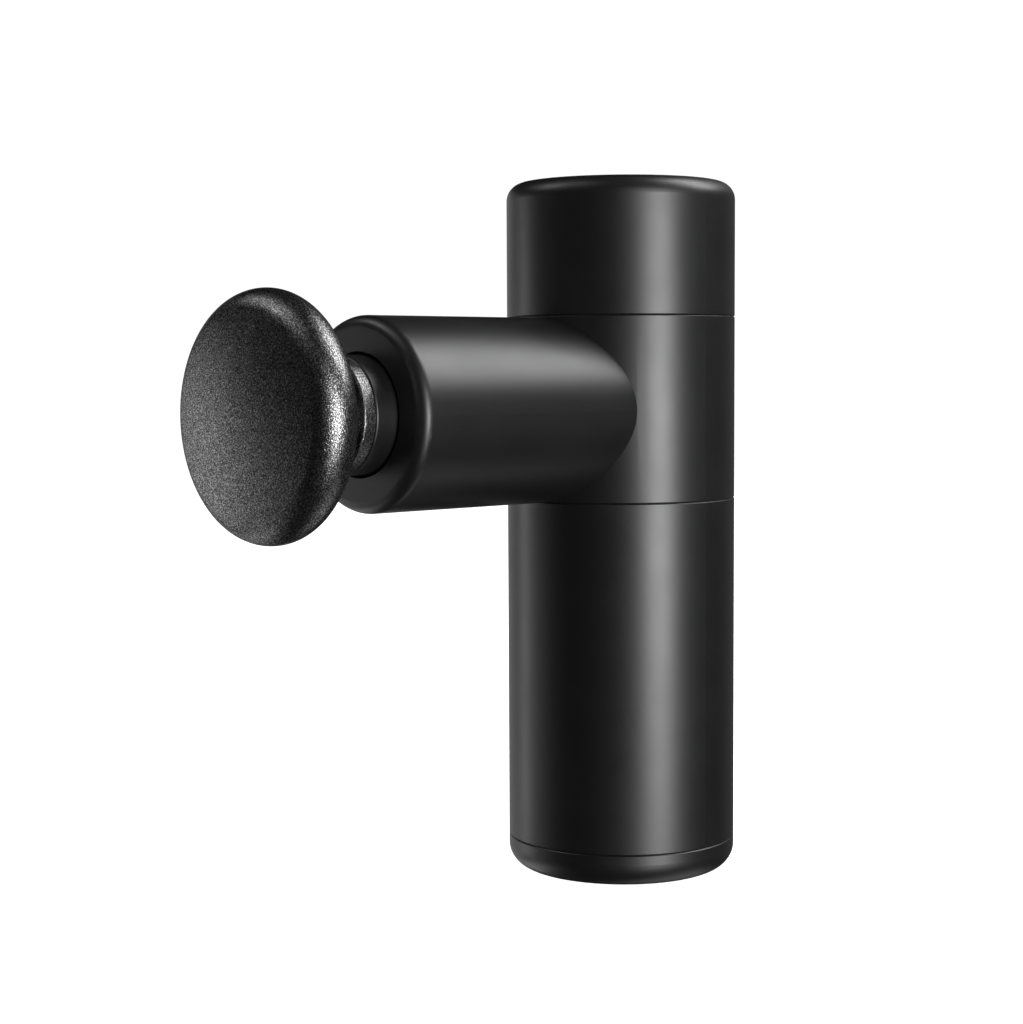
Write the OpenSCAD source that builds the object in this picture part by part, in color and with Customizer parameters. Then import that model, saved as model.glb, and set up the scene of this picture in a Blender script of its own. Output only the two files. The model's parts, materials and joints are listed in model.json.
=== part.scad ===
// Pocket massage gun: a cylindrical handle, a short barrel and a round push-in head.
// Frame: +Z runs up the handle, the origin is the centre of the resting face,
// the barrel and the head point along -Y, and X is sideways.
// Every height is above the resting face. Every "reach" is a distance from the handle's axis along -Y.

/* [Body] */
// Outside diameter of the handle, the housing and both caps
body_d = 46; // [46:0.5:48]
// Wall of the handle, the housing and both caps
wall = 2; // [1.8:0.1:2]
// Height of the base cap
base_h = 6.7; // [6.7:0.1:8]
// Height of the handle tube between the base cap and the housing
handle_h = 68.8; // [68.8:0.1:75]
// Height of the housing that carries the barrel
mid_h = 36.4; // [36.4:0.1:38]
// Height of the top cap
top_h = 26.9; // [26.9:0.1:34]
// Rounding of the base cap's lower edge
base_edge = 4.7; // [4:0.1:5]
// Rounding of the top cap's upper edge
top_edge = 3.6; // [3:0.1:5]
// Chamfer on each side of a joint line
seam = 0.22; // [0.1:0.01:0.3]

/* [Barrel] */
// Outside diameter of the barrel
barrel_d = 36.1; // [35.8:0.1:36.2]
// Reach of the barrel's front face
barrel_reach = 68.4; // [68.4:0.1:72]
// Rounding of the barrel's front edge
barrel_edge = 2.2; // [1.5:0.1:2.6]
// Opening in the front face
mouth_d = 23; // [22.6:0.1:24]
// Thickness of the front face
front_wall = 2.4; // [2:0.1:2.8]
// How far the barrel's axis lies below the middle of the housing
barrel_drop = 0.25; // [0:0.05:0.3]

/* [Head] */
// Outside diameter of the head
head_d = 45; // [40:0.1:48]
// Rounding of the front of the head's rim
rim_r = 5.2; // [5:0.1:6]
// Rounding of the back of the head's rim
rim_back_r = 4.55; // [4:0.05:5]
// Rounding of the shoulder between the rim and the dome
shoulder_r = 4.8; // [2.5:0.1:5]
// Reach of the rim's middle
rim_reach = 88.9; // [88:0.1:92]
// Reach of the tip of the dome
tip_reach = 96; // [95.5:0.1:98]
// Diameter of the collar behind the head
collar_d = 21.4; // [20:0.1:21.6]
// Diameter of the sleeve at the back of the pad
sleeve_d = 19.6; // [18:0.1:20]
// Diameter of the stem's neck inside the sleeve
neck_d = 16; // [14:0.1:16]

/* [Mechanism] */
// Full stroke of the plunger
stroke = 7; // [5:0.5:7]
// Distance between the connecting rod's two eyes
rod_len = 40; // [39:0.5:41]
// Diameter of the plunger
plunger_d = 21.8; // [21.6:0.1:21.8]
// How far the plunger stands out of the mouth at mid stroke
plunger_out = 4.7; // [4:0.1:5]
// Diameter of the motor shaft
shaft_d = 4; // [3.5:0.5:4]

/* [Power] */
// Diameter of one battery cell
cell_d = 18.4; // [18:0.1:18.4]
// Length of one battery cell
cell_len = 65; // [60:1:65]
// Height of the power button's centre
button_z = 56; // [54:1:60]
// Travel of the power button
button_travel = 0.5; // [0.3:0.05:0.5]
// Height of the charging port's centre
port_z = 18; // [16:1:24]

/* [Hidden] */
$fn = 96;

// Body
body_r = body_d / 2;
inner_r = body_r - wall;
handle_z = base_h;
mid_z = handle_z + handle_h;
top_z = mid_z + mid_h;
overlap = 0.5;              // how far a rib or spigot is sunk into the wall that it grows from
spigot_h = 2;               // how far one shell reaches into the next
spigot_r = inner_r - 0.1;   // outside of every spigot
spigot_in = inner_r - 1.4;  // inside of every spigot
base_floor = 2.2;

// Barrel
barrel_z = mid_z + mid_h / 2 - barrel_drop;
barrel_r = barrel_d / 2;
barrel_in = barrel_r - wall;
mouth_r = mouth_d / 2;
carrier_r = barrel_in - 0.1;
carrier_in = 13;
carrier_from = 40;
carrier_to = barrel_reach - front_wall - 0.05;
carrier_screw_pcr = 14.5;
carrier_screw_r = 0.95;
carrier_screws_at = [90, 210, 330];
seal_t = 1.7;
bush_from = 42;
bush_to = carrier_to - seal_t - 0.1;
running = 0.05;             // radial clearance of a running fit

// Mechanism
crank_r = stroke / 2;
rod_t = 6;
rod_w = 8;
small_eye_r = 5.6;
big_eye_r = 8.4;
rod_bush_r = 3.6;
rod_bearing_r = 5.5;
crank_pin_r = 2.5;
rod_tilt = asin(crank_r / rod_len);
wrist_reach = rod_len * cos(rod_tilt);
plunger_r = plunger_d / 2;
plunger_front = barrel_reach + plunger_out;
plunger_back = wrist_reach - 5.8;
plunger_edge = 0.5;
socket_r = 6;
socket_depth = 16;
wrist_r = 2.5;
slot_h = rod_t + 1;
rod_z = barrel_z - rod_t / 2;
shaft_r = shaft_d / 2;
disc_z = rod_z + rod_t + 1.4;
disc_t = 4.5;
disc_r = 9.5;
hub_r = 4.5;
hub_top = disc_z + 7.5;
shaft_z = disc_z + 3.1;     // the shaft stops above the crank pin's hole, which it would otherwise meet
weight_r = 12.5;
weight_t = 2.4;
weight_screws_at = [150, 210];
weight_screw_pcr = 7.4;
weight_screw_r = 0.88;
set_screw_r = 0.88;
pin_gap = 0.3;              // opened pivot: the crank pin stops this far below the crank disc

// Motor, counted up from the bracket
ledge_top = top_z - 5;
damper_t = 0.8;
bracket_z = ledge_top + damper_t;
bracket_t = 1.8;
bracket_r = inner_r - 0.3;
bracket_top = bracket_z + bracket_t;
ledge_t = 1.6;
ledge_in = 17.5;
bracket_boss_r = 2.3;
bracket_boss_h = 4.3;
bracket_screw_r = 1.25;
bracket_screws_at = [for (x = [-13.7, 13.7], y = [-9.7, 9.7]) [x, y]];
motor_screws_at = [45 : 90 : 315];
motor_screw_pcr = 9;
motor_screw_r = 1;
base_flange_r = 11.5;
pilot_r = 6;                // the motor base's spigot under its flange
base_flange_t = 1.8;
bearing_r = 4;
bearing_t = 3;
tube_r = 5.2;
tube_top = bracket_top + 18.2;
stator_z = bracket_top + 4.5;
stator_h = 10;
stator_r = 12.2;
teeth = 9;
magnet_r = 14.2;
magnet_t = 1.5;
magnets = 12;
can_r = 15.5;
can_z = bracket_top + 2.9;
can_top = tube_top + 1.7;
lead_r = 0.55;
lead_y = 15;
lead_pitch = 2;
lead_bend = 1.4;
lead_slot = 8.4;            // width of the opening that the motor leads pass through
plug_h = 4.5;

// Power
cell_r = cell_d / 2;
cell_x = cell_r + 0.2;
cell_y = -4;
plate_t = 1.4;
holder_z = base_h + 0.7;
cell_z = holder_z + plate_t + 0.5;
holder_r = spigot_in - 0.3;
holder_top = cell_z + cell_len + 0.7;
spine_y = cell_y + cell_r + 0.4;
base_screws_at = [[0, -14.5], [12, 11], [-12, 11]];
base_screw_r = 1;
base_screw_bottom = 0.15;   // the heads sit this far inside the resting face
base_screw_bite = 3;        // how far the base screws reach into the battery holder
base_boss_r = 2.6;
boss_r = 2.2;
spine_w = 30;
lead_post_r = 0.8;
board_screw_r = 0.9;
board_t = 1.2;
board_y = 12.4;
board_back = board_y + board_t;
board_w = 26;
board_z = 12;
board_h = 60;
standoffs_at = [for (x = [-10.5, 10.5], z = [board_z + 3, board_z + board_h - 6]) [x, z]];
driver_z = holder_top + plate_t + 1.5;
driver_top = driver_z + board_t;
driver_r = inner_r - 0.4;
driver_screws_at = [[15.5, 3], [-15.5, 3]];
// Chips of the control board: x, z, width, height, thickness
front_chips = [[-2.5, 50, 5, 5, 1.5], [-7, 36, 4, 5, 1.5], [1.5, 24, 6, 6, 3]];
back_chip = [4.6, 30, 4, 3, 1.2];
driver_chip = 7;
transistor = 5;
chip_t = 1;
cap_r = 4;
cap_h = 9;
switch_h = 3.5;
button_r = 5.7;
button_proud = 0.35;
glyph_r = 2.5;
glyph_w = 0.4;
glyph_depth = 0.2;
light_r = 0.85;
led_z = [for (i = [0 : 3]) button_z - 12 - 4 * i];
port_w = 9;
port_h = 3.2;

// ---------- helpers ----------

// Places children at a reach on the barrel's axis, with their +Z towards the head and +Y up
module along_barrel(reach = 0) {
    translate([0, -reach, barrel_z]) rotate([90, 0, 0]) children();
}

// Places children behind the handle at a height, with their +Z pointing out of its back (+Y)
module out_of_back(y, z, x = 0) {
    translate([x, y, z]) rotate([-90, 0, 0]) children();
}

// Flat ring or tube
module ring(r_out, r_in, h) {
    difference() {
        cylinder(r = r_out, h = h);
        translate([0, 0, -1]) cylinder(r = r_in, h = h + 2);
    }
}

// Half section of a disc whose far corner is rounded
module rounded_section(r, h, edge) {
    square([r - edge, h]);
    square([r, h - edge]);
    translate([r - edge, h - edge]) intersection() {
        circle(r = edge);
        square(edge);
    }
}

// Small diamond that cuts the chamfer of a joint line out of a half section
module seam_cut(r, z) {
    translate([r, z]) rotate(45) square(seam * sqrt(2), center = true);
}

// Shape with two straight sides and two round ends, w by h, with its middle at the origin
module obround(w, h) {
    square([w - h, h], center = true);
    for (x = [-1, 1]) translate([x * (w - h) / 2, 0]) circle(d = h);
}

// Screw with a round head above z = 0 and a plain shank below it
module pan_screw(r, head_r, head_h, len) {
    difference() {
        union() {
            cylinder(r = head_r, h = head_h);
            translate([0, 0, -len]) cylinder(r = r, h = len + overlap);
        }
        for (a = [0, 90]) rotate(a)
            translate([-head_r * 0.6, -0.2, head_h * 0.5]) cube([head_r * 1.2, 0.4, head_h]);
    }
}

// ---------- shells ----------

module top_cap() {
    color("#1c1c1e")
    translate([0, 0, top_z]) {
        rotate_extrude() difference() {
            rounded_section(body_r, top_h, top_edge);
            rounded_section(inner_r, top_h - wall, top_edge - 1);
            seam_cut(body_r, 0);
        }
        rotate_extrude() polygon([
            [spigot_in, -spigot_h], [spigot_r, -spigot_h], [spigot_r, 0],
            [inner_r + overlap, 0], [inner_r + overlap, 3], [inner_r, 3], [spigot_in, 1.6]
        ]);
    }
}

module main_housing() {
    color("#1c1c1e") {
        difference() {
            union() {
                translate([0, 0, mid_z]) rotate_extrude() difference() {
                    square([body_r, mid_h]);
                    seam_cut(body_r, 0);
                    seam_cut(body_r, mid_h);
                }
                along_barrel() rotate_extrude() rounded_section(barrel_r, barrel_reach, barrel_edge);
            }
            translate([0, 0, mid_z - 1]) cylinder(r = inner_r, h = mid_h + 2);
            along_barrel() cylinder(r = barrel_in, h = barrel_reach - front_wall);
            along_barrel() cylinder(r = mouth_r, h = barrel_reach + 1);
            for (a = carrier_screws_at) along_barrel(carrier_to - 1) rotate(a)
                translate([carrier_screw_pcr, 0, 0]) cylinder(r = carrier_screw_r + 0.05, h = 2.4, $fn = 32);
        }
        difference() {
            union() {
                translate([0, 0, ledge_top - ledge_t]) ring(inner_r + overlap, ledge_in, ledge_t);
                for (p = bracket_screws_at) translate([p[0], p[1], ledge_top - bracket_boss_h])
                    cylinder(r = bracket_boss_r, h = bracket_boss_h);
            }
            along_barrel() cylinder(r = barrel_in, h = barrel_reach);
            for (p = bracket_screws_at) translate([p[0], p[1], ledge_top - bracket_boss_h + 0.5])
                cylinder(r = bracket_screw_r + 0.03, h = bracket_boss_h);
        }
    }
}

module handle_tube() {
    color("#1c1c1e")
    difference() {
        translate([0, 0, handle_z]) {
            rotate_extrude() difference() {
                translate([inner_r, 0]) square([wall, handle_h]);
                seam_cut(body_r, 0);
                seam_cut(body_r, handle_h);
            }
            rotate_extrude() polygon([
                [inner_r, handle_h - 4], [inner_r + overlap, handle_h - 4], [inner_r + overlap, handle_h],
                [spigot_r, handle_h], [spigot_r, handle_h + spigot_h], [spigot_in, handle_h + spigot_h],
                [spigot_in, handle_h - 2.6]
            ]);
        }
        out_of_back(inner_r - 3, button_z) cylinder(r = button_r + 0.2, h = 8);
        for (z = led_z) out_of_back(inner_r - 3, z) cylinder(r = light_r + 0.05, h = 8, $fn = 32);
        out_of_back(inner_r - 3, port_z) linear_extrude(8) obround(port_w + 2.6, port_h + 2.6);
    }
}

module base_cap() {
    color("#1c1c1e")
    difference() {
        union() {
            translate([0, 0, base_h]) mirror([0, 0, 1]) rotate_extrude() difference() {
                rounded_section(body_r, base_h, base_edge);
                rounded_section(inner_r, base_h - base_floor, base_edge - 2);
                seam_cut(body_r, 0);
            }
            rotate_extrude() polygon([
                [spigot_in, base_h - 1.6], [inner_r + overlap, base_h - 2.5], [inner_r + overlap, base_h],
                [spigot_r, base_h], [spigot_r, base_h + spigot_h], [spigot_in, base_h + spigot_h]
            ]);
            for (p = base_screws_at) translate([p[0], p[1], base_floor - overlap])
                cylinder(r = base_boss_r, h = holder_z - base_floor + overlap - 0.1);
        }
        for (p = base_screws_at) translate([p[0], p[1], 0]) {
            translate([0, 0, -1]) cylinder(r = base_screw_r + 0.1, h = holder_z + 2, $fn = 32);
            translate([0, 0, -0.01]) cylinder(r1 = 2.2, r2 = base_screw_r + 0.1, h = 1.3, $fn = 32);
        }
    }
}

module base_screws() {
    color("silver")
    for (p = base_screws_at) translate([p[0], p[1], base_screw_bottom]) difference() {
        union() {
            cylinder(r1 = 1.95, r2 = base_screw_r - 0.05, h = 1.05, $fn = 32);
            translate([0, 0, 1])
                cylinder(r = base_screw_r, h = holder_z + base_screw_bite - base_screw_bottom - 1, $fn = 32);
        }
        for (a = [0, 90]) rotate(a) translate([-1.1, -0.2, -0.5]) cube([2.2, 0.4, 1]);
    }
}

// ---------- plunger guide ----------

module guide_carrier() {
    color("#3a3a3e")
    difference() {
        along_barrel(carrier_from) ring(carrier_r, carrier_in, carrier_to - carrier_from);
        for (a = carrier_screws_at) along_barrel(carrier_from - 1) rotate(a)
            translate([carrier_screw_pcr, 0, 0])
                cylinder(r = carrier_screw_r + 0.05, h = carrier_to, $fn = 32);
    }
}

module carrier_screws() {
    color("silver")
    for (a = carrier_screws_at) along_barrel(carrier_from) rotate(a)
        translate([carrier_screw_pcr, 0, 0]) mirror([0, 0, 1])
            pan_screw(carrier_screw_r, 1.45, 1.2, carrier_to - carrier_from + 1.1, $fn = 32);
}

module guide_bush() {
    color("peru")
    along_barrel(bush_from) ring(carrier_in - 0.02, plunger_r + running, bush_to - bush_from);
}

module dust_seal() {
    color("dimgray")
    along_barrel(carrier_to - seal_t) ring(carrier_in - 0.1, plunger_r + 0.15, seal_t);
}

// ---------- plunger and connecting rod ----------

module plunger() {
    color("#232326")
    difference() {
        along_barrel(plunger_back) rotate_extrude()
            rounded_section(plunger_r, plunger_front - plunger_back, plunger_edge);
        along_barrel(plunger_front - socket_depth) cylinder(r = socket_r, h = socket_depth + 1);
        translate([-body_r, -wrist_reach - 7.6, barrel_z - slot_h / 2])
            cube([2 * body_r, body_r, slot_h]);
        translate([0, -wrist_reach, barrel_z - plunger_r - 1])
            cylinder(r = wrist_r + 0.01, h = plunger_d + 2);
    }
}

module wrist_pin() {
    color("silver")
    translate([0, -wrist_reach, barrel_z]) cylinder(r = wrist_r, h = plunger_d - 2.4, center = true);
}

// Places children at the wrist pin, with +Y along the rod and z = 0 at the rod's lower face
module at_rod() {
    translate([0, -wrist_reach, rod_z]) rotate([0, 0, -rod_tilt]) children();
}

module connecting_rod() {
    color("#9a9aa0")
    at_rod() difference() {
        union() {
            cylinder(r = small_eye_r, h = rod_t);
            translate([0, rod_len, 0]) cylinder(r = big_eye_r, h = rod_t);
            translate([-rod_w / 2, 0, 0]) cube([rod_w, rod_len, rod_t]);
        }
        translate([0, 0, -1]) cylinder(r = rod_bush_r + 0.01, h = rod_t + 2);
        translate([0, rod_len, -1]) cylinder(r = rod_bearing_r + 0.02, h = rod_t + 2);
        for (z = [-1, rod_t - 1.2]) translate([-2.2, 7.5, z]) cube([4.4, rod_len - 18, 2.2]);
    }
}

module rod_bush() {
    color("peru")
    at_rod() ring(rod_bush_r, wrist_r + running, rod_t);
}

// Ball bearing: outer and inner ring with a shield sunk a little between them
module bearing(r_out, r_in, h) {
    difference() {
        ring(r_out, r_in, h);
        for (z = [-1, h - 0.2]) translate([0, 0, z])
            ring(r_out - 0.8, r_in + 0.7, 1.2);
    }
}

module rod_bearing() {
    color("lightgray")
    at_rod() translate([0, rod_len, 0.5]) bearing(rod_bearing_r, crank_pin_r + 0.01, rod_t - 1);
}

module crank_pin() {
    color("silver")
    at_rod() translate([0, rod_len, 0]) difference() {
        union() {
            cylinder(r = crank_pin_r, h = disc_z - pin_gap - rod_z);
            translate([0, 0, -1.6]) cylinder(r = crank_pin_r + 1, h = 1.8);
        }
        translate([0, 0, -2]) cylinder(r = 1.2, h = 1.6, $fn = 6);
    }
}

// ---------- head ----------

rim_c = head_d / 2 - rim_r;                       // radius of the circle on which the rim's front is centred
back_c = head_d / 2 - rim_back_r;                 // the same for the rim's back
shoulder_at = 20;                                 // slope at which the rim turns into the shoulder
shoulder_c = rim_c + (rim_r - shoulder_r) * cos(shoulder_at);
shoulder_reach = rim_reach + (rim_r - shoulder_r) * sin(shoulder_at);
dome_k = tip_reach - shoulder_reach - shoulder_r;
dome_d = (shoulder_c * shoulder_c + dome_k * dome_k) / (2 * dome_k);
dome_r = dome_d + shoulder_r;
dome_reach = tip_reach - dome_r;                  // reach of the dome's centre
dome_lean = shoulder_c / (shoulder_reach - dome_reach);
collar_reach = plunger_front + 0.05;
collar_t = 2.5;
collar_edge = 0.4;
sleeve_r = sleeve_d / 2;
sleeve_edge = 0.4;
pad_back = 76.9;                                  // reach of the sleeve's back edge
cone_from = 79.9;                                 // reach at which the cone leaves the sleeve
back_len = norm([back_c - sleeve_r, rim_reach - cone_from]);
back_a = atan2(rim_reach - cone_from, back_c - sleeve_r) - asin(rim_back_r / back_len);
back_t = sqrt(back_len * back_len - rim_back_r * rim_back_r);
core_r = 14;
core_from = 85;
core_t = 3;

// Half section of the pad's outside: a sleeve, a cone, a round rim, a shoulder and a tangent dome
module pad_section() {
    translate([back_c, rim_reach]) circle(r = rim_back_r);
    intersection() {
        translate([rim_c, rim_reach]) circle(r = rim_r);
        translate([rim_c, rim_reach]) polygon([[0, 0], [head_d, 0], [head_d, head_d * tan(shoulder_at)]]);
    }
    translate([shoulder_c, shoulder_reach]) circle(r = shoulder_r);
    intersection() {
        translate([0, dome_reach]) circle(r = dome_r, $fn = 4 * $fn);
        polygon([
            [0, rim_reach], [dome_lean * (rim_reach - dome_reach), rim_reach],
            [dome_lean * (tip_reach + 9 - dome_reach), tip_reach + 9], [0, tip_reach + 9]
        ]);
    }
    translate([sleeve_r - sleeve_edge, pad_back + sleeve_edge]) circle(r = sleeve_edge);
    polygon([
        [0, pad_back], [sleeve_r - sleeve_edge, pad_back],
        [sleeve_r, pad_back + sleeve_edge], [sleeve_r, cone_from],
        [sleeve_r + back_t * cos(back_a), cone_from + back_t * sin(back_a)],
        [back_c, rim_reach], [shoulder_c, shoulder_reach], [0, shoulder_reach]
    ]);
}

// Half section of the stem, grown by a clearance; the pad is moulded around its front end
module stem_section(grow = 0) {
    square([neck_d / 2 + grow, core_from + 1]);
    translate([0, core_from - grow]) square([core_r + grow, core_t + 2 * grow]);
}

module head_stem() {
    color("#202022")
    along_barrel() rotate_extrude() {
        intersection() {
            stem_section();
            translate([0, collar_reach + 1]) square([core_r + 1, body_d]);
        }
        difference() {
            translate([0, plunger_front - socket_depth + 0.6]) square([socket_r - running, socket_depth + 1]);
            for (i = [1, 2]) translate([socket_r, o_ring_reach(i)]) square([2.4, 1.9], center = true);
        }
        translate([0, collar_reach]) rounded_section(collar_d / 2, collar_t, collar_edge);
    }
}

// Reach of each rubber ring on the stem
function o_ring_reach(i) = plunger_front - 5 * i;

module head_o_rings() {
    color("#303030")
    for (i = [1, 2]) along_barrel(o_ring_reach(i)) rotate_extrude()
        translate([socket_r - 0.61, 0]) circle(r = 0.58, $fn = 32);
}

module head_pad() {
    color("#2a2a2c")
    along_barrel() rotate_extrude() difference() {
        pad_section();
        stem_section(0.02);
    }
}

// ---------- crank ----------

module crank_disc() {
    color("slategray")
    difference() {
        translate([0, 0, disc_z]) {
            cylinder(r = disc_r, h = disc_t);
            cylinder(r = hub_r, h = hub_top - disc_z);
        }
        translate([0, 0, shaft_z - 0.1]) cylinder(r = shaft_r + 0.01, h = hub_top);
        translate([crank_r, 0, disc_z - 1]) cylinder(r = crank_pin_r + 0.02, h = 3.6);
        for (a = weight_screws_at) rotate(a) translate([weight_screw_pcr, 0, disc_z])
            cylinder(r = weight_screw_r + 0.02, h = disc_t + 1, $fn = 32);
        translate([0, 0, hub_top - 1.5]) rotate([0, 90, 90])
            cylinder(r = set_screw_r + 0.02, h = hub_r + 1, $fn = 32);
    }
}

module crank_set_screw() {
    color("silver")
    translate([0, shaft_r + 0.05, hub_top - 1.5]) rotate([-90, 0, 0]) difference() {
        cylinder(r = set_screw_r, h = hub_r - shaft_r - 0.3, $fn = 32);
        translate([0, 0, 1]) cylinder(r = 0.45, h = 3, $fn = 6);
    }
}

module counterweight() {
    color("goldenrod")
    difference() {
        translate([0, 0, disc_z + disc_t]) rotate([0, 0, 105]) rotate_extrude(angle = 150)
            translate([hub_r + 0.5, 0]) square([weight_r - hub_r - 0.5, weight_t]);
        for (a = weight_screws_at) rotate(a) translate([weight_screw_pcr, 0, disc_z])
            cylinder(r = weight_screw_r + 0.12, h = disc_t + weight_t + 1, $fn = 32);
    }
}

module counterweight_screws() {
    color("silver")
    for (a = weight_screws_at) rotate(a) translate([weight_screw_pcr, 0, disc_z + disc_t + weight_t])
        pan_screw(weight_screw_r, 1.5, 0.9, weight_t + disc_t - 1.2, $fn = 32);
}

// ---------- motor ----------

module motor_shaft() {
    color("silver")
    translate([0, 0, shaft_z]) cylinder(r = shaft_r, h = can_top + 2.6 - shaft_z);
}

module rotor_can() {
    color("#4a4a50")
    difference() {
        union() {
            translate([0, 0, can_z]) cylinder(r = can_r, h = can_top - can_z);
            translate([0, 0, can_top - 1]) cylinder(r = 3.8, h = 2.6);
        }
        translate([0, 0, can_z - 1]) cylinder(r = magnet_r + 0.01, h = can_top - can_z - 0.2);
        translate([0, 0, can_z]) cylinder(r = shaft_r + 0.01, h = 30);
        for (i = [0 : 5]) rotate(60 * i) translate([9.2, 0, can_top - 2])
            cylinder(r = 2.4, h = 3, $fn = 48);
    }
}

module rotor_magnets() {
    color("gray")
    for (i = [0 : magnets - 1]) rotate(360 / magnets * i) translate([0, 0, stator_z - 0.8])
        rotate_extrude(angle = 27) translate([magnet_r - magnet_t, 0]) square([magnet_t, stator_h + 1.6]);
}

module motor_base() {
    color("#8a8a90")
    difference() {
        union() {
            translate([0, 0, bracket_top]) cylinder(r = base_flange_r, h = base_flange_t);
            translate([0, 0, bracket_z + 0.2]) cylinder(r = pilot_r, h = bracket_t + 1);
            translate([0, 0, bracket_top]) cylinder(r = tube_r, h = tube_top - bracket_top);
        }
        translate([0, 0, bracket_z - 1]) cylinder(r = shaft_r + 0.4, h = 40);
        for (z = [bracket_z - 1, tube_top - bearing_t]) translate([0, 0, z])
            cylinder(r = bearing_r, h = bearing_t + 1.2);
        for (a = motor_screws_at) rotate(a) translate([motor_screw_pcr, 0, bracket_z])
            cylinder(r = motor_screw_r + 0.05, h = 5, $fn = 32);
    }
}

module motor_bearings() {
    color("lightgray")
    for (z = [bracket_z + 0.2, tube_top - bearing_t]) translate([0, 0, z])
        bearing(bearing_r - 0.01, shaft_r + 0.03, bearing_t);
}

module stator_core() {
    color("#6b6f76")
    translate([0, 0, stator_z]) linear_extrude(stator_h) {
        difference() {
            circle(r = 7.4);
            circle(r = tube_r + 0.01);
        }
        for (i = [0 : teeth - 1]) rotate(360 / teeth * i) {
            translate([7, -1.1]) square([4.4, 2.2]);
            intersection() {
                difference() {
                    circle(r = stator_r);
                    circle(r = stator_r - 1);
                }
                polygon([[0, 0], [20, -5.6], [20, 5.6]]);
            }
        }
    }
}

module stator_coils() {
    color("#b5651d")
    for (i = [0 : teeth - 1]) rotate(360 / teeth * i) difference() {
        translate([7.7, -2.2, stator_z - 1.1]) cube([3.2, 4.4, stator_h + 2.2]);
        translate([7, -1.2, stator_z - 0.1]) cube([5, 2.4, stator_h + 0.2]);
    }
}

module motor_leads() {
    color("firebrick")
    for (i = [-1 : 1]) translate([lead_pitch * i, lead_y, 0]) {
        translate([0, 0, driver_top + plug_h + 0.1])
            cylinder(r = lead_r, h = bracket_top - driver_top - plug_h - 0.1, $fn = 32);
        translate([0, -lead_bend, bracket_top]) rotate([90, 0, 90]) rotate_extrude(angle = 90)
            translate([lead_bend, 0]) circle(r = lead_r, $fn = 32);
        translate([0, -lead_bend, bracket_top + lead_bend]) rotate([90, 0, 0])
            cylinder(r = lead_r, h = 1.5, $fn = 32);
    }
}

module motor_bracket() {
    color("silver")
    difference() {
        translate([0, 0, bracket_z]) ring(bracket_r, pilot_r + 0.2, bracket_t);
        for (p = bracket_screws_at) translate([p[0], p[1], bracket_z - 1])
            cylinder(r = bracket_screw_r + 0.15, h = 4, $fn = 32);
        for (a = motor_screws_at) rotate(a) translate([motor_screw_pcr, 0, bracket_z - 1])
            cylinder(r = motor_screw_r + 0.2, h = 4, $fn = 32);
        translate([-lead_slot / 2, 13.2, bracket_z - 1]) cube([lead_slot, 3.4, 4]);
    }
}

module motor_screws() {
    color("silver")
    for (a = motor_screws_at) rotate(a) translate([motor_screw_pcr, 0, bracket_z]) mirror([0, 0, 1])
        pan_screw(motor_screw_r, 1.9, 1.2, bracket_t + base_flange_t - 0.3, $fn = 32);
}

module bracket_screws() {
    color("silver")
    for (p = bracket_screws_at) translate([p[0], p[1], bracket_top])
        pan_screw(bracket_screw_r, 2.2, 1.5, bracket_top - ledge_top + 3.4, $fn = 32);
}

module damping_ring() {
    color("#55555a")
    difference() {
        translate([0, 0, ledge_top]) ring(bracket_r, 14.4, damper_t);
        for (p = bracket_screws_at) translate([p[0], p[1], ledge_top - 1])
            cylinder(r = bracket_screw_r + 0.25, h = 3, $fn = 32);
        translate([-lead_slot / 2, 12, ledge_top - 1]) cube([lead_slot, 4.6, 3]);
    }
}

// ---------- battery ----------

module battery_holder() {
    color("#d8d8d0")
    difference() {
        union() {
            translate([0, 0, holder_z]) cylinder(r = holder_r, h = plate_t);
            translate([0, 0, holder_top]) cylinder(r = holder_r, h = plate_t);
            translate([-spine_w / 2, spine_y, holder_z])
                cube([spine_w, plate_t, holder_top + plate_t - holder_z]);
            translate([base_screws_at[0][0], base_screws_at[0][1], holder_z])
                cylinder(r = boss_r, h = holder_top + plate_t - holder_z);
            for (p = base_screws_at) translate([p[0], p[1], holder_z]) cylinder(r = boss_r, h = 4.2);
            for (p = standoffs_at) out_of_back(spine_y, p[1], p[0])
                cylinder(r = 1.9, h = board_y - spine_y);
            for (p = driver_screws_at) translate([p[0], p[1], holder_top])
                cylinder(r = 2, h = driver_z - holder_top);
        }
        for (p = base_screws_at) translate([p[0], p[1], holder_z - 1])
            cylinder(r = base_screw_r + 0.02, h = base_screw_bite + 1.4, $fn = 32);
        for (p = standoffs_at) out_of_back(spine_y + 1.6, p[1], p[0])
            cylinder(r = board_screw_r + 0.02, h = 9, $fn = 32);
        for (p = driver_screws_at) translate([p[0], p[1], holder_top - 1])
            cylinder(r = board_screw_r + 0.02, h = 9, $fn = 32);
        for (x = [-1, 1]) translate([x * cell_x - 3.5, cell_y - 3, holder_top - 1]) cube([7, 6, 4]);
        translate([-5.5, board_y - 0.6, holder_top - 1]) cube([11, 3, 4]);
    }
}

module battery_cells() {
    color("#3f7fbf")
    for (x = [-1, 1]) translate([x * cell_x, cell_y, cell_z]) rotate_extrude() difference() {
        square([cell_r, cell_len]);
        translate([cell_r, cell_len - 4]) circle(r = 0.5, $fn = 32);
        translate([cell_r - 1.6, cell_len - 0.4]) square([2, 1]);
    }
}

module cell_links() {
    color("gainsboro")
    {
        translate([-cell_x - 4, cell_y - 3.5, cell_z - 0.35]) cube([2 * cell_x + 8, 7, 0.3]);
        for (x = [-1, 1]) translate([x * cell_x - 3, cell_y - 2.5, cell_z + cell_len + 0.05])
            cube([6, 5, 0.3]);
    }
}

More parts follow.
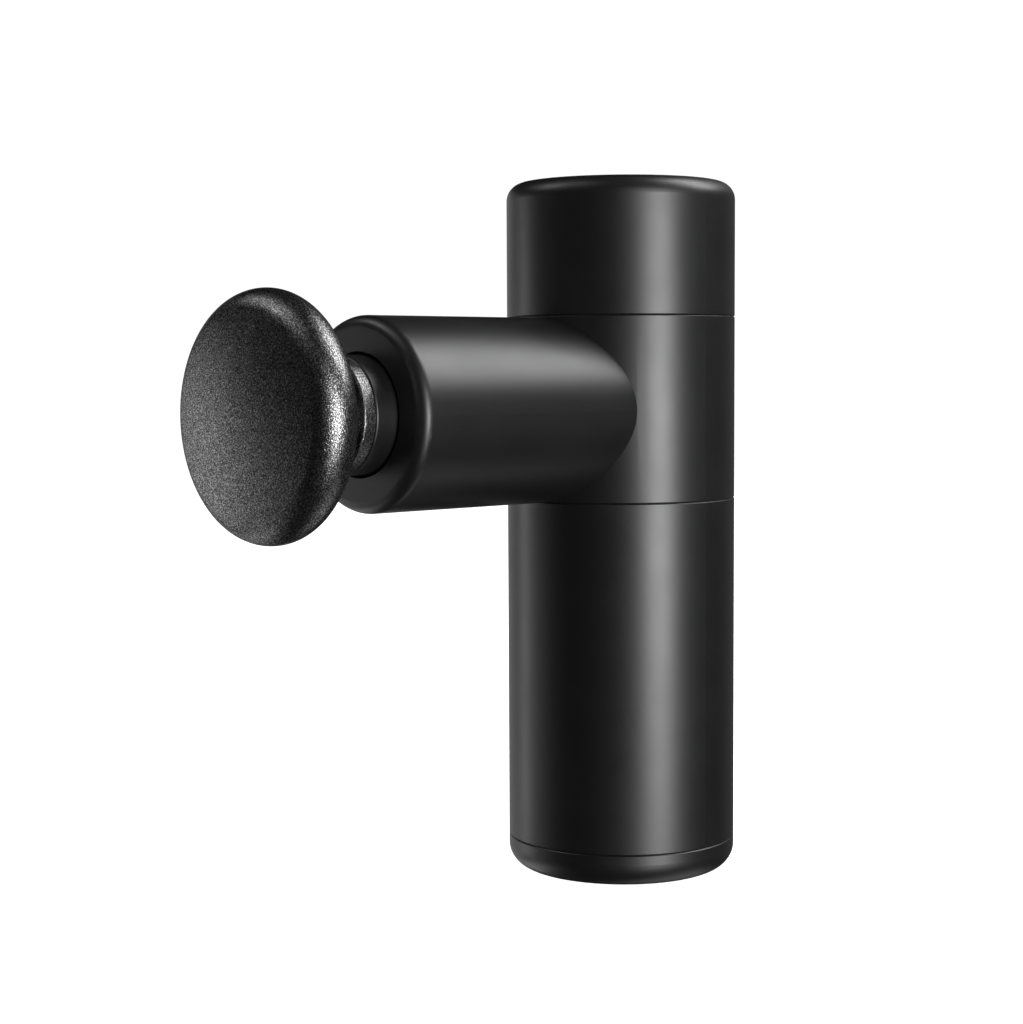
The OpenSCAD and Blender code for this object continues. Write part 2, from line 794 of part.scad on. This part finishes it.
module battery_leads() {
    color("firebrick")
    for (x = [-1, 1]) translate([x * cell_x, cell_y, cell_z + cell_len + 0.4])
        cylinder(r = lead_post_r, h = driver_z - cell_z - cell_len - 0.45, $fn = 32);
}

// ---------- boards ----------

module driver_board() {
    color("#1e6b3a")
    difference() {
        translate([0, 0, driver_z]) cylinder(r = driver_r, h = board_t);
        for (p = driver_screws_at) translate([p[0], p[1], driver_z - 1])
            cylinder(r = board_screw_r + 0.15, h = 4, $fn = 32);
    }
}

module driver_chips() {
    color("#202020")
    {
        translate([-driver_chip / 2, -driver_chip / 2, driver_top]) cube([driver_chip, driver_chip, chip_t]);
        for (a = [200 : 28 : 340]) rotate(a) translate([12, -transistor / 2, driver_top])
            cube([transistor, transistor, chip_t]);
    }
}

module capacitors() {
    color("#26324f")
    for (x = [-1, 1]) translate([x * 10, 9.5, driver_top]) rotate_extrude() difference() {
        square([cap_r, cap_h]);
        translate([cap_r, cap_h - 1.4]) circle(r = 0.35, $fn = 32);
    }
}

module motor_plug() {
    color("ivory")
    translate([-4, lead_y - 2.3, driver_top]) cube([8, 4.6, plug_h]);
}

module control_board() {
    color("#1e6b3a")
    difference() {
        translate([-board_w / 2, board_y, board_z]) cube([board_w, board_t, board_h]);
        for (p = standoffs_at) out_of_back(board_y - 1, p[1], p[0])
            cylinder(r = board_screw_r + 0.15, h = 4, $fn = 32);
    }
}

module control_chips() {
    color("#202020")
    {
        for (c = front_chips) translate([c[0], board_y - c[4], c[1]]) cube([c[2], c[4], c[3]]);
        translate([back_chip[0], board_back, back_chip[1]]) cube([back_chip[2], back_chip[4], back_chip[3]]);
    }
}

module ribbon_cable() {
    color("ghostwhite")
    translate([-4, board_back, board_z + board_h - 6]) cube([8, 0.3, driver_z - board_z - board_h + 5.95]);
}

module board_screws() {
    color("silver")
    {
        for (p = standoffs_at) out_of_back(board_back, p[1], p[0])
            pan_screw(board_screw_r, 1.7, 1.1, 4.5, $fn = 32);
        for (p = driver_screws_at) translate([p[0], p[1], driver_top])
            pan_screw(board_screw_r, 1.7, 1.1, 3.6, $fn = 32);
    }
}

// ---------- button, lights and charging port ----------

module tactile_switch() {
    color("#303034")
    {
        translate([-3, board_back, button_z - 3]) cube([6, switch_h - 0.4, 6]);
        out_of_back(board_back + 1, button_z) cylinder(r = 1.6, h = switch_h - 1, $fn = 48);
    }
}

module power_button() {
    color("#2c2c30")
    difference() {
        union() {
            intersection() {
                out_of_back(inner_r - 2, button_z) cylinder(r = button_r, h = 6);
                translate([0, 0, button_z - 10]) cylinder(r = body_r + button_proud, h = 20);
            }
            out_of_back(inner_r - 2.8, button_z) cylinder(r = button_r + 1, h = 1.1);
            out_of_back(board_back + switch_h + button_travel + 0.1, button_z)
                cylinder(r = 1.4, h = 3, $fn = 48);
        }
        intersection() {
            out_of_back(body_r - 1, button_z) difference() {
                ring(glyph_r, glyph_r - glyph_w, 3);
                translate([-2 * glyph_w, -3, -1]) cube([4 * glyph_w, 3, 5]);
            }
            translate([0, 0, button_z - 10]) ring(body_r + 2, body_r + button_proud - glyph_depth, 20);
        }
        intersection() {
            translate([-glyph_w / 2, body_r - 1, button_z + 0.4]) cube([glyph_w, 3, 2.4]);
            translate([0, 0, button_z - 10]) ring(body_r + 2, body_r + button_proud - glyph_depth, 20);
        }
    }
}

module status_leds() {
    color("white")
    for (z = led_z) translate([-0.8, board_back, z - 0.5]) cube([1.6, 0.8, 1]);
}

module light_guide() {
    color("aliceblue")
    {
        translate([-1.6, inner_r - 2.1, led_z[3] - 1.8]) cube([3.2, 2, led_z[0] - led_z[3] + 3.6]);
        for (z = led_z) out_of_back(inner_r - 1, z) cylinder(r = light_r, h = wall + 0.95, $fn = 32);
    }
}

module charge_socket() {
    color("gainsboro")
    out_of_back(board_back, port_z) {
        linear_extrude(body_r - 0.8 - board_back) difference() {
            obround(port_w - 0.1, port_h - 0.1);
            obround(port_w - 0.7, port_h - 0.7);
        }
        linear_extrude(2) obround(port_w - 0.3, port_h - 0.3);
        translate([-3.3, -0.35, 0]) cube([6.6, 0.7, body_r - 1.8 - board_back]);
    }
}

module port_bezel() {
    color("#101012")
    intersection() {
        out_of_back(inner_r - 1.6, port_z) linear_extrude(6) difference() {
            obround(port_w + 2.5, port_h + 2.5);
            obround(port_w, port_h);
        }
        translate([0, 0, port_z - 10]) cylinder(r = body_r - 0.1, h = 20);
    }
}

top_cap();
main_housing();
handle_tube();
base_cap();
base_screws();
guide_carrier();
carrier_screws();
guide_bush();
dust_seal();
plunger();
wrist_pin();
connecting_rod();
rod_bearing();
rod_bush();
crank_pin();
head_stem();
head_pad();
head_o_rings();
crank_disc();
crank_set_screw();
counterweight();
counterweight_screws();
motor_shaft();
rotor_can();
rotor_magnets();
motor_base();
motor_bearings();
stator_core();
stator_coils();
motor_leads();
motor_bracket();
motor_screws();
bracket_screws();
damping_ring();
battery_holder();
battery_cells();
cell_links();
battery_leads();
driver_board();
driver_chips();
capacitors();
motor_plug();
control_board();
control_chips();
ribbon_cable();
board_screws();
tactile_switch();
power_button();
status_leds();
light_guide();
charge_socket();
port_bezel();
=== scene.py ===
"""Looks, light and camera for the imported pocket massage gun.

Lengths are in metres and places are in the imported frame: the gun stands on z = 0, its head points to -Y.
"""
import json
import math

import bpy
from mathutils import Matrix, Vector


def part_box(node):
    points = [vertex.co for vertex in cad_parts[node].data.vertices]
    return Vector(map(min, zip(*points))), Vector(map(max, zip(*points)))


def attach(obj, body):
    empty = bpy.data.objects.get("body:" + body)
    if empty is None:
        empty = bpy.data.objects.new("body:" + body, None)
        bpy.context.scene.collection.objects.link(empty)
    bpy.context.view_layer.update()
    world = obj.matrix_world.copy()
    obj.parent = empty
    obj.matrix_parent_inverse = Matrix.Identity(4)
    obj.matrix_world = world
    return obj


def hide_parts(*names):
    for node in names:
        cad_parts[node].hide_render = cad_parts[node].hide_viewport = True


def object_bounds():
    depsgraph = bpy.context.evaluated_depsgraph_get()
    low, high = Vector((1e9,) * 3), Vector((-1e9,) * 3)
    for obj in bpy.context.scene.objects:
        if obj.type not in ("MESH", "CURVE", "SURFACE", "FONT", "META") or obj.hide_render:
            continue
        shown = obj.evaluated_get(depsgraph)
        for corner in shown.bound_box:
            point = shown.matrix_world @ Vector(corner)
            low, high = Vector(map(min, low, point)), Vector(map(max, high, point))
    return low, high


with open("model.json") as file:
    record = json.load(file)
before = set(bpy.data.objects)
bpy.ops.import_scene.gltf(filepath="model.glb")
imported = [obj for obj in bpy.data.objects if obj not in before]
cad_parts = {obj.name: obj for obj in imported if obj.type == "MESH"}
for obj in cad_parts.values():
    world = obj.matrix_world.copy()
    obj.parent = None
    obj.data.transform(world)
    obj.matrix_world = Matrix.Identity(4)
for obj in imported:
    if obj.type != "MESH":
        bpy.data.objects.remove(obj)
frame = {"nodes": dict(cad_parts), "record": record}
cad_low, cad_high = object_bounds()
nodes = frame["nodes"]
scene = bpy.context.scene
MM = 0.001
MIX_FACTOR, MIX_LOW, MIX_HIGH, MIX_RESULT = 0, 6, 7, 2      # sockets of a Mix node that is set to RGBA


# ---------- node helpers ----------

class Shader:
    """A material with a Principled shader and short calls for the nodes that vary it."""

    def __init__(self, name, color, rough, metal=0.0, specular=0.5):
        self.mat = bpy.data.materials.new(name)
        self.mat.use_nodes = True
        self.tree = self.mat.node_tree
        self.bsdf = self.tree.nodes["Principled BSDF"]
        self.coords = self.tree.nodes.new("ShaderNodeTexCoord").outputs["Object"]
        self.color, self.rough = color, rough
        self.put("Base Color", (*color, 1.0))
        self.put("Roughness", rough)
        self.put("Metallic", metal)
        self.put("Specular IOR Level", specular)

    def put(self, socket, value):
        self.bsdf.inputs[socket].default_value = value

    def link(self, a, b):
        self.tree.links.new(a, b)

    def node(self, kind, **values):
        made = self.tree.nodes.new(kind)
        for key, value in values.items():
            setattr(made, key, value)
        return made

    def noise(self, size, detail=3.0, rough=0.55, stretch=(1, 1, 1)):
        """Noise whose features are about size metres across, longer where stretch is above 1."""
        mapping = self.node("ShaderNodeMapping")
        mapping.inputs["Scale"].default_value = [1 / (size * s) for s in stretch]
        self.link(self.coords, mapping.inputs["Vector"])
        made = self.node("ShaderNodeTexNoise")
        made.inputs["Scale"].default_value = 1.0
        made.inputs["Detail"].default_value = detail
        made.inputs["Roughness"].default_value = rough
        self.link(mapping.outputs["Vector"], made.inputs["Vector"])
        return made.outputs["Fac"]

    def ramp(self, fac, low, high, start=0.3, end=0.7):
        """Maps a 0 to 1 value onto low to high, between start and end of its own range."""
        made = self.node("ShaderNodeMapRange")
        for key, value in (("From Min", start), ("From Max", end), ("To Min", low), ("To Max", high)):
            made.inputs[key].default_value = value
        self.link(fac, made.inputs["Value"])
        return made.outputs["Result"]

    def vary_rough(self, fac, spread):
        """Varies the roughness by spread above and below its own value."""
        self.link(self.ramp(fac, self.rough - spread, self.rough + spread), self.bsdf.inputs["Roughness"])

    def blend(self, fac, low_color, high_color, socket):
        """Blends two colours by a 0 to 1 value into one of the shader's sockets."""
        mix = self.node("ShaderNodeMix", data_type="RGBA")
        mix.inputs[MIX_LOW].default_value = (*low_color, 1)
        mix.inputs[MIX_HIGH].default_value = (*high_color, 1)
        self.link(fac, mix.inputs[MIX_FACTOR])
        self.link(mix.outputs[MIX_RESULT], self.bsdf.inputs[socket])

    def vary_color(self, fac, low, high):
        """Varies the colour between low and high times its own value."""
        darkest = [c * low for c in self.color]
        brightest = [min(c * high, 1.0) for c in self.color]
        self.blend(self.ramp(fac, 0, 1), darkest, brightest, "Base Color")

    def paint_hollow_shade(self, fac, low, start, end):
        """Paints shade into hollows: the mirror tint falls from 1 to low where the grain dips, for the
        shade that falls there.
        """
        self.blend(self.ramp(fac, 0, 1, start, end), [low] * 3, [1.0] * 3, "Specular Tint")

    def bump(self, height, depth):
        """Bump whose 0 to 1 height stands depth metres tall."""
        made = self.node("ShaderNodeBump")
        made.inputs["Strength"].default_value = 1.0
        made.inputs["Distance"].default_value = depth
        self.link(height, made.inputs["Height"])
        self.link(made.outputs["Normal"], self.bsdf.inputs["Normal"])


# ---------- materials ----------

def satin_black(name, color, rough):
    """Soft-coated black shell: almost no colour of its own, broad soft highlights, a faint grain."""
    s = Shader(name, color, rough)
    s.vary_rough(s.noise(9 * MM, detail=4), spread=0.015)
    s.vary_color(s.noise(14 * MM), low=0.85, high=1.15)
    s.bump(s.noise(0.16 * MM, detail=2), depth=0.0008 * MM)
    return s.mat


def pebbled_black(name, color, rough):
    """Black rubbery surface with a fine raised grain, with painted shade that darkens its hollows and dims
    their mirror, and painted glints on the raised grains.
    """
    s = Shader(name, color, rough, specular=1.0)
    s.put("IOR", 2.6)
    grain = s.noise(0.235 * MM, detail=1, rough=0.5)
    s.vary_rough(s.noise(5 * MM), spread=0.02)
    # painted shade in the grain's hollows and painted glints on its tops, carried in the colour
    s.vary_color(grain, low=0.1, high=3.0)
    # painted shade: the grain's hollows mirror less
    s.paint_hollow_shade(grain, low=0.14, start=0.46, end=0.72)
    s.bump(grain, depth=0.07 * MM)
    return s.mat


def metal(name, color, rough, mark=None, stretch=(1, 1, 1)):
    """Bare metal. The turned or brushed marks are mark metres wide and run along the stretched axis."""
    s = Shader(name, color, rough, metal=1.0)
    s.vary_rough(s.noise(mark or 0.6 * MM, detail=4, stretch=stretch), spread=0.06)
    s.vary_color(s.noise(3 * MM), low=0.9, high=1.1)
    s.bump(s.noise(mark or 0.3 * MM, stretch=stretch), depth=0.0012 * MM)
    return s.mat


def moulded(name, color, rough):
    """Plain injection-moulded plastic or cured rubber."""
    s = Shader(name, color, rough)
    s.vary_rough(s.noise(4 * MM, detail=4), spread=0.05)
    s.vary_color(s.noise(6 * MM), low=0.92, high=1.08)
    s.bump(s.noise(0.2 * MM, detail=2), depth=0.0015 * MM)
    return s.mat


COATED_BLACK = (0.0045, 0.0045, 0.0047)
GRAINED_BLACK = (0.0028, 0.0028, 0.0029)
MATERIALS = {       # the record's slot: its maker, colour and roughness, and a metal's marks
    "body_metal": (satin_black, COATED_BLACK, 0.40),
    "cap_plastic": (satin_black, COATED_BLACK, 0.40),
    "plunger_black": (satin_black, (0.005, 0.005, 0.0052), 0.38),
    "head_rubber": (pebbled_black, GRAINED_BLACK, 0.30),
    "stem_plastic": (pebbled_black, GRAINED_BLACK, 0.30),
    "seal_rubber": (moulded, (0.01, 0.01, 0.01), 0.6),
    "guide_plastic": (moulded, (0.05, 0.05, 0.053), 0.5),
    "bush_bronze": (metal, (0.50, 0.32, 0.16), 0.45),
    "screw_steel": (metal, (0.45, 0.45, 0.46), 0.32),
    "bright_steel": (metal, (0.62, 0.62, 0.63), 0.22, 0.1 * MM, (1, 1, 6)),
    "rod_alloy": (metal, (0.55, 0.56, 0.58), 0.36, 0.15 * MM, (1, 8, 1)),
    "crank_steel": (metal, (0.10, 0.105, 0.11), 0.4),
    "weight_brass": (metal, (0.70, 0.50, 0.22), 0.3, 0.1 * MM, (6, 6, 1)),
    "magnet": (metal, (0.38, 0.38, 0.39), 0.3),
    "copper_wire": (metal, (0.65, 0.26, 0.10), 0.35, 0.22 * MM, (9, 9, 1)),
    "lead_red": (moulded, (0.42, 0.03, 0.025), 0.4),
    "holder_plastic": (moulded, (0.55, 0.54, 0.50), 0.5),
    "cell_wrap": (moulded, (0.03, 0.16, 0.42), 0.3),
    "nickel": (metal, (0.60, 0.58, 0.52), 0.28, 0.12 * MM, (8, 1, 1)),
    "board_green": (moulded, (0.01, 0.12, 0.04), 0.35),
    "chip_black": (moulded, (0.015, 0.015, 0.016), 0.55),
    "cap_sleeve": (moulded, (0.02, 0.035, 0.11), 0.3),
    "ribbon_white": (moulded, (0.62, 0.62, 0.58), 0.4),
    "led_white": (moulded, (0.80, 0.79, 0.70), 0.4),
    "light_window": (moulded, (0.55, 0.58, 0.60), 0.35),
    "button_plastic": (moulded, (0.02, 0.02, 0.021), 0.27),
}
materials = {name: make(name, *values) for name, (make, *values) in MATERIALS.items()}
for row in frame["record"]["subparts"]:
    slots = nodes[row["node"]].data.materials
    slots.clear()
    slots.append(materials[row["material_slot"]])


# ---------- pieces made here ----------

HEAD_RIM_FRONT = 5.2 * MM       # rounding of the front of the head's rim
HEAD_RIM_BACK = 4.55 * MM       # rounding of its back
HEAD_SHOULDER = 4.8 * MM        # rounding between the rim and the dome
HEAD_SHOULDER_AT = 20           # slope in degrees at which the rim turns into the shoulder
HEAD_RIM_REACH = 88.9 * MM      # reach of the rim's middle along the barrel's axis
HEAD_CONE_REACH = 79.9 * MM     # where the cone behind the head meets the sleeve
SLEEVE_R = 9.8 * MM
SLEEVE_EDGE = 0.4 * MM          # rounding of the sleeve's back edge
STEM_GAP = 0.02 * MM            # clearance between the pad and the stem that it is moulded round
BORE_R = 8.0 * MM + STEM_GAP    # hole for the stem's neck
POCKET_R = 14.0 * MM + STEM_GAP         # pocket for the disc at the stem's end
POCKET_FROM, POCKET_TO = 85.0 * MM - STEM_GAP, 88.0 * MM + STEM_GAP


def arc(center_r, center_reach, radius, start, end, steps):
    """Points of a half section and their outward normals: (r, reach, normal r, normal reach)."""
    points = []
    for i in range(steps + 1):
        a = math.radians(start + (end - start) * i / steps)
        c, s = math.cos(a), math.sin(a)
        points.append((center_r + radius * c, center_reach + radius * s, c, s))
    return points


def line(start, r, reach, steps):
    """A straight stretch from a half section's last point, whose normal it keeps."""
    r0, reach0, nr, nk = start
    shares = [i / steps for i in range(1, steps + 1)]
    return [(r0 + (r - r0) * t, reach0 + (reach - reach0) * t, nr, nk) for t in shares]


def revolve(name, runs, axis_z, segments=192):
    """Turns runs of a half section round the barrel's axis.

    Each run keeps its own normals, so two runs meet at a sharp edge.
    """
    vertices, rings, faces, normals = [], {}, [], []

    def ring(r, reach):
        key = (round(r, 7), round(reach, 7))
        if key not in rings:
            first = len(vertices)
            count = 1 if r < 1e-7 else segments
            for i in range(count):
                a = 2 * math.pi * i / segments
                vertices.append((r * math.cos(a), -reach, axis_z + r * math.sin(a)))
            rings[key] = (first, count)
        return rings[key]

    def normal(nr, nk, i):
        a = 2 * math.pi * i / segments
        return (nr * math.cos(a), -nk, nr * math.sin(a))

    for run in runs:
        for (r0, k0, nr0, nk0), (r1, k1, nr1, nk1) in zip(run, run[1:]):
            (f0, c0), (f1, c1) = ring(r0, k0), ring(r1, k1)
            for i in range(segments):
                j = (i + 1) % segments
                corners = [(f1 + i % c1, nr1, nk1, i), (f1 + j % c1, nr1, nk1, i + 1),
                           (f0 + j % c0, nr0, nk0, i + 1), (f0 + i % c0, nr0, nk0, i)]
                if c1 == 1:
                    corners = [(f1, nr1, nk1, i + 0.5)] + corners[2:]
                elif c0 == 1:
                    corners = corners[:2] + [(f0, nr0, nk0, i + 0.5)]
                faces.append([c[0] for c in corners])
                normals += [normal(*c[1:]) for c in corners]
    mesh = bpy.data.meshes.new(name)
    mesh.from_pydata(vertices, [], faces)
    mesh.polygons.foreach_set("use_smooth", [True] * len(faces))
    mesh.normals_split_custom_set(normals)
    made = bpy.data.objects.new(name, mesh)
    scene.collection.objects.link(made)
    return made


def head_pad_runs():
    """Half section of the pad: dome, shoulder, rim, cone, sleeve, and the pocket round the stem."""
    low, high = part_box("head_pad")
    tip, back, outer = -low.y, -high.y, (high.x - low.x) / 2
    front_c, back_c = outer - HEAD_RIM_FRONT, outer - HEAD_RIM_BACK
    turn_at = math.radians(HEAD_SHOULDER_AT)
    shoulder_c = front_c + (HEAD_RIM_FRONT - HEAD_SHOULDER) * math.cos(turn_at)
    shoulder_reach = HEAD_RIM_REACH + (HEAD_RIM_FRONT - HEAD_SHOULDER) * math.sin(turn_at)
    rise = tip - shoulder_reach - HEAD_SHOULDER
    dome_r = (shoulder_c ** 2 + rise ** 2) / (2 * rise) + HEAD_SHOULDER
    dome_reach = tip - dome_r
    join = math.degrees(math.atan2(shoulder_reach - dome_reach, shoulder_c))
    reach_in = HEAD_RIM_REACH - HEAD_CONE_REACH
    span = math.hypot(back_c - SLEEVE_R, reach_in)
    slope = math.atan2(reach_in, back_c - SLEEVE_R) - math.asin(HEAD_RIM_BACK / span)
    skin = arc(0, dome_reach, dome_r, 90, join, steps=60)
    skin += arc(shoulder_c, shoulder_reach, HEAD_SHOULDER, join, HEAD_SHOULDER_AT, steps=24)[1:]
    skin += arc(front_c, HEAD_RIM_REACH, HEAD_RIM_FRONT, HEAD_SHOULDER_AT, 0, steps=12)[1:]
    skin += arc(back_c, HEAD_RIM_REACH, HEAD_RIM_BACK, 0, math.degrees(slope) - 90, steps=24)[1:]
    skin += line(skin[-1], SLEEVE_R, HEAD_CONE_REACH, steps=12)
    return [
        skin,
        [(SLEEVE_R, HEAD_CONE_REACH, 1, 0), (SLEEVE_R, back + SLEEVE_EDGE, 1, 0)]
        + arc(SLEEVE_R - SLEEVE_EDGE, back + SLEEVE_EDGE, SLEEVE_EDGE, 0, -90, steps=8)[1:],
        [(SLEEVE_R - SLEEVE_EDGE, back, 0, -1), (BORE_R, back, 0, -1)],
        [(BORE_R, back, -1, 0), (BORE_R, POCKET_FROM, -1, 0)],
        [(BORE_R, POCKET_FROM, 0, 1), (POCKET_R, POCKET_FROM, 0, 1)],
        [(POCKET_R, POCKET_FROM, -1, 0), (POCKET_R, POCKET_TO, -1, 0)],
        [(POCKET_R, POCKET_TO, 0, -1), (0, POCKET_TO, 0, -1)],
    ]


low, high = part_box("head_pad")
barrel_z = (low.z + high.z) / 2
pad = revolve("head_pad_skin", head_pad_runs(), barrel_z)
pad.data.materials.append(materials["head_rubber"])
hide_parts("head_pad")
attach(pad, "head")


# ---------- camera ----------

CAMERA_AZIMUTH = math.radians(43.77)     # round the handle, from straight in front of the head
CAMERA_DISTANCE = 422.7 * MM             # from the handle's axis
CAMERA_HEIGHT = 102.2 * MM
CAMERA_YAW = math.radians(46.79)         # the direction that it looks in, turned from +Y
CAMERA_PITCH = math.radians(-4.03)
CAMERA_ROLL = math.radians(-0.27)
CAMERA_LENS = 72.98                      # millimetres
CAMERA_SENSOR = 36                       # millimetres


def add_camera():
    """The main view, from between the front of the head and +X."""
    camera = bpy.data.objects.new("camera", bpy.data.cameras.new("camera"))
    scene.collection.objects.link(camera)
    scene.camera = camera
    camera.data.sensor_width = CAMERA_SENSOR
    camera.data.lens = CAMERA_LENS
    camera.data.clip_start = 0.01
    camera.data.clip_end = 50
    forward = Vector((
        -math.sin(CAMERA_YAW) * math.cos(CAMERA_PITCH),
        math.cos(CAMERA_YAW) * math.cos(CAMERA_PITCH),
        math.sin(CAMERA_PITCH),
    ))
    right = Vector((math.cos(CAMERA_YAW), math.sin(CAMERA_YAW), 0))
    up = right.cross(forward)
    turned_right = math.cos(CAMERA_ROLL) * right + math.sin(CAMERA_ROLL) * up
    turned_up = math.cos(CAMERA_ROLL) * up - math.sin(CAMERA_ROLL) * right
    turn = Matrix((turned_right, turned_up, -forward)).transposed()
    place = Vector((
        CAMERA_DISTANCE * math.sin(CAMERA_AZIMUTH),
        -CAMERA_DISTANCE * math.cos(CAMERA_AZIMUTH),
        CAMERA_HEIGHT,
    ))
    camera.matrix_world = Matrix.Translation(place) @ turn.to_4x4()


add_camera()


# ---------- floor, world and lights ----------

FLOOR_SIDE = 30.0               # half the floor's side
FLOOR_DROP = 0.02 * MM          # keeps the floor clear of the base
FLOOR_GLOW = 1.1                # just past white, so that the floor has no edge
ROOM_GREY = 0.01
BACKDROP_WHITE = 1.05
PANEL_DISTANCE = 1.2            # from the object's middle

scene.view_settings.view_transform = "Standard"
middle = (cad_low + cad_high) / 2


def make_floor():
    """A wide pale floor that only the camera sees, so that it neither tints nor blocks the soft lights."""
    mesh = bpy.data.meshes.new("floor")
    corners = [(FLOOR_SIDE * x, FLOOR_SIDE * y, 0) for x, y in ((-1, -1), (1, -1), (1, 1), (-1, 1))]
    mesh.from_pydata(corners, [], [(0, 1, 2, 3)])
    floor = bpy.data.objects.new("floor", mesh)
    scene.collection.objects.link(floor)
    floor.location.z = -FLOOR_DROP
    floor.visible_glossy = False
    floor.visible_diffuse = False
    floor.visible_shadow = False
    mat = bpy.data.materials.new("floor")
    mat.use_nodes = True
    tree = mat.node_tree
    shader = tree.nodes["Principled BSDF"]
    shader.inputs["Base Color"].default_value = (0.9, 0.9, 0.9, 1)
    shader.inputs["Roughness"].default_value = 0.9
    shader.inputs["Specular IOR Level"].default_value = 0.0
    shader.inputs["Emission Color"].default_value = (1, 1, 1, 1)
    shader.inputs["Emission Strength"].default_value = FLOOR_GLOW
    mesh.materials.append(mat)


def make_world():
    """White where the camera looks past the object, and a dim grey room for its reflections."""
    world = bpy.data.worlds.new("room")
    scene.world = world
    world.use_nodes = True
    tree = world.node_tree
    out = tree.nodes["World Output"]
    room = tree.nodes["Background"]
    room.inputs["Color"].default_value = (*[ROOM_GREY] * 3, 1)
    white = tree.nodes.new("ShaderNodeBackground")
    white.inputs["Color"].default_value = (*[BACKDROP_WHITE] * 3, 1)
    path = tree.nodes.new("ShaderNodeLightPath")
    mix = tree.nodes.new("ShaderNodeMixShader")
    tree.links.new(path.outputs["Is Camera Ray"], mix.inputs["Fac"])
    tree.links.new(room.outputs["Background"], mix.inputs[1])
    tree.links.new(white.outputs["Background"], mix.inputs[2])
    tree.links.new(mix.outputs["Shader"], out.inputs["Surface"])


def softbox(name, azimuth, elevation, width, height, radiance):
    """A soft panel that faces the object's middle, with its direction and size from there in degrees.

    Azimuth runs from +X towards +Y, seen from above, and the width is a span of azimuth.
    """
    a, e = math.radians(azimuth), math.radians(elevation)
    away = Vector((math.cos(a) * math.cos(e), math.sin(a) * math.cos(e), math.sin(e)))
    data = bpy.data.lights.new(name, "AREA")
    data.shape = "RECTANGLE"
    data.size = 2 * PANEL_DISTANCE * math.tan(math.radians(width / 2)) * math.cos(e)
    data.size_y = 2 * PANEL_DISTANCE * math.tan(math.radians(height / 2))
    data.energy = radiance * math.pi * data.size * data.size_y
    light = bpy.data.objects.new(name, data)
    scene.collection.objects.link(light)
    light.rotation_euler = away.to_track_quat("Z", "Y").to_euler()
    light.location = middle + away * PANEL_DISTANCE
    light.visible_camera = False


PANELS = [  # name, azimuth, elevation, width, height, radiance
    ("key", 354.6, -1.6, 19.5, 15.6, 26.6),
    ("key_wide", 352.0, -8.0, 25.0, 60.0, 3.1),
    ("key_up", 345.0, 20.0, 30.0, 24.0, 1.6),
    ("back_high", 57.0, 45.0, 35.0, 37.0, 9.2),
    ("back_right", 82.0, 45.0, 26.0, 30.0, 1.2),
    ("back", 105.0, 5.0, 50.0, 60.0, 0.12),
    ("rim", 199.4, -5.0, 10.0, 28.0, 4.1),
    ("left_high", 220.0, 44.4, 20.2, 13.7, 6.1),
    ("left_over", 245.0, 58.0, 60.0, 24.0, 1.0),
    ("left_mid", 194.0, -25.0, 40.0, 20.0, 0.45),
    ("left_low", 192.3, -41.8, 65.2, 13.9, 1.45),
    ("front_glow", 222.0, -12.0, 24.0, 26.0, 0.5),
    ("back_fill", 158.0, -6.0, 40.0, 46.0, 0.55),
    ("back_low", 78.1, -60.1, 76.1, 30.2, 0.79),
]
make_floor()
make_world()
for panel in PANELS:
    softbox(*panel)
